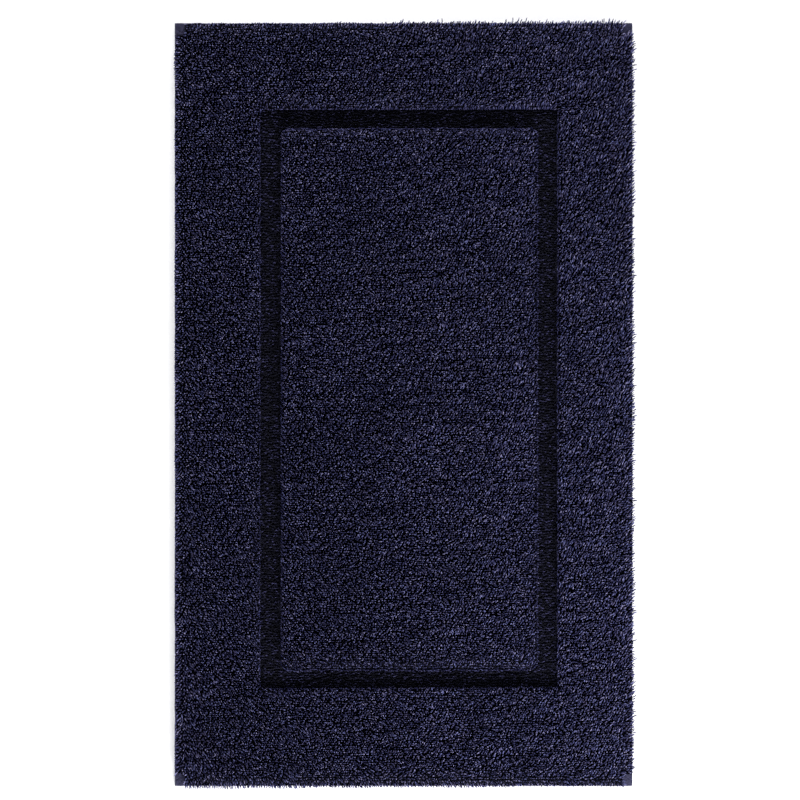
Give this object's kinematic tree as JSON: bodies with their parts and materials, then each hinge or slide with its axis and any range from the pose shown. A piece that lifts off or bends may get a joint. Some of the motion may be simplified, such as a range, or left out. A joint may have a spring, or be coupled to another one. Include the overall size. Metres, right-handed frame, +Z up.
{
  "type": "bath mat",
  "caption": "Rectangular tufted cotton bath mat in dark navy, tall cut pile with a sunken channel framing the middle field, taped edges and an anti-slip underside.",
  "frame": {"origin": "centre of the underside, on the floor", "axes": "+Z up, +Y along the mat's length towards its top end, +X to the right"},
  "size_m": [0.6, 1, 0.02],
  "materials": {
    "pile_yarn": "matt cut cotton pile",
    "low_pile": "matt low ribbed cotton pile",
    "ground_cloth": "plain woven cotton",
    "latex": "matt soft latex",
    "edge_tape": "twill woven cotton tape",
    "thread": "spun sewing thread",
    "label": "woven satin, blank"
  },
  "bodies": {
    "root": {"border_pile": "pile_yarn", "centre_pile": "pile_yarn", "channel_pile": "low_pile", "ground_cloth": "ground_cloth", "latex_coat": "latex", "corner_tacks": "thread", "care_label": "label", "label_stitches": "thread", "edge_tape_left": "edge_tape", "edge_tape_right": "edge_tape", "edge_tape_top": "edge_tape", "edge_tape_bottom": "edge_tape", "hem_stitches_left": "thread", "hem_stitches_right": "thread", "hem_stitches_top": "thread", "hem_stitches_bottom": "thread", "corner_fold_top_left": "edge_tape", "corner_fold_top_right": "edge_tape", "corner_fold_bottom_left": "edge_tape", "corner_fold_bottom_right": "edge_tape"}
  },
  "joints": []
}
